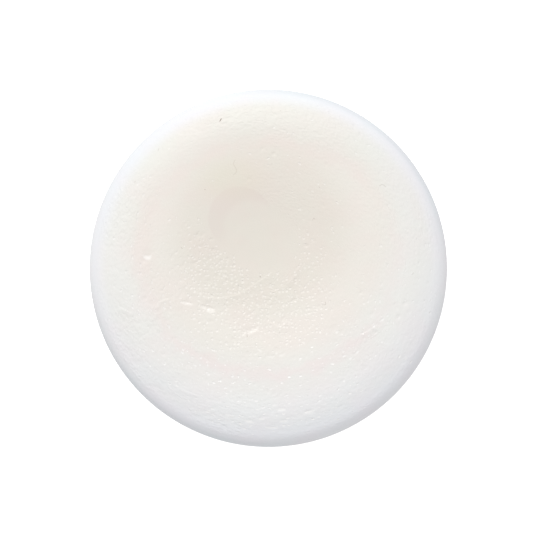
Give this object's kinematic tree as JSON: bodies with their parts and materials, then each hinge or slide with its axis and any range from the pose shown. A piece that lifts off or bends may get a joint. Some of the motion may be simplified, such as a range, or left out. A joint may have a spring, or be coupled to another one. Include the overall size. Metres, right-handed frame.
{
  "type": "shaving soap puck",
  "caption": "Round off-white cake of hard shaving soap with a shallow dished top, a softly rounded shoulder and a flat base.",
  "frame": {"origin": "centre of the flat base that the puck stands on", "axes": "+Z is the axis the round puck is turned about, pointing from the base to the dished top"},
  "size_m": [0.072, 0.072, 0.025],
  "materials": {
    "soap": "smooth off-white soap, softly burnished, with fine pits"
  },
  "bodies": {
    "root": {"soap_puck": "soap"}
  },
  "joints": []
}
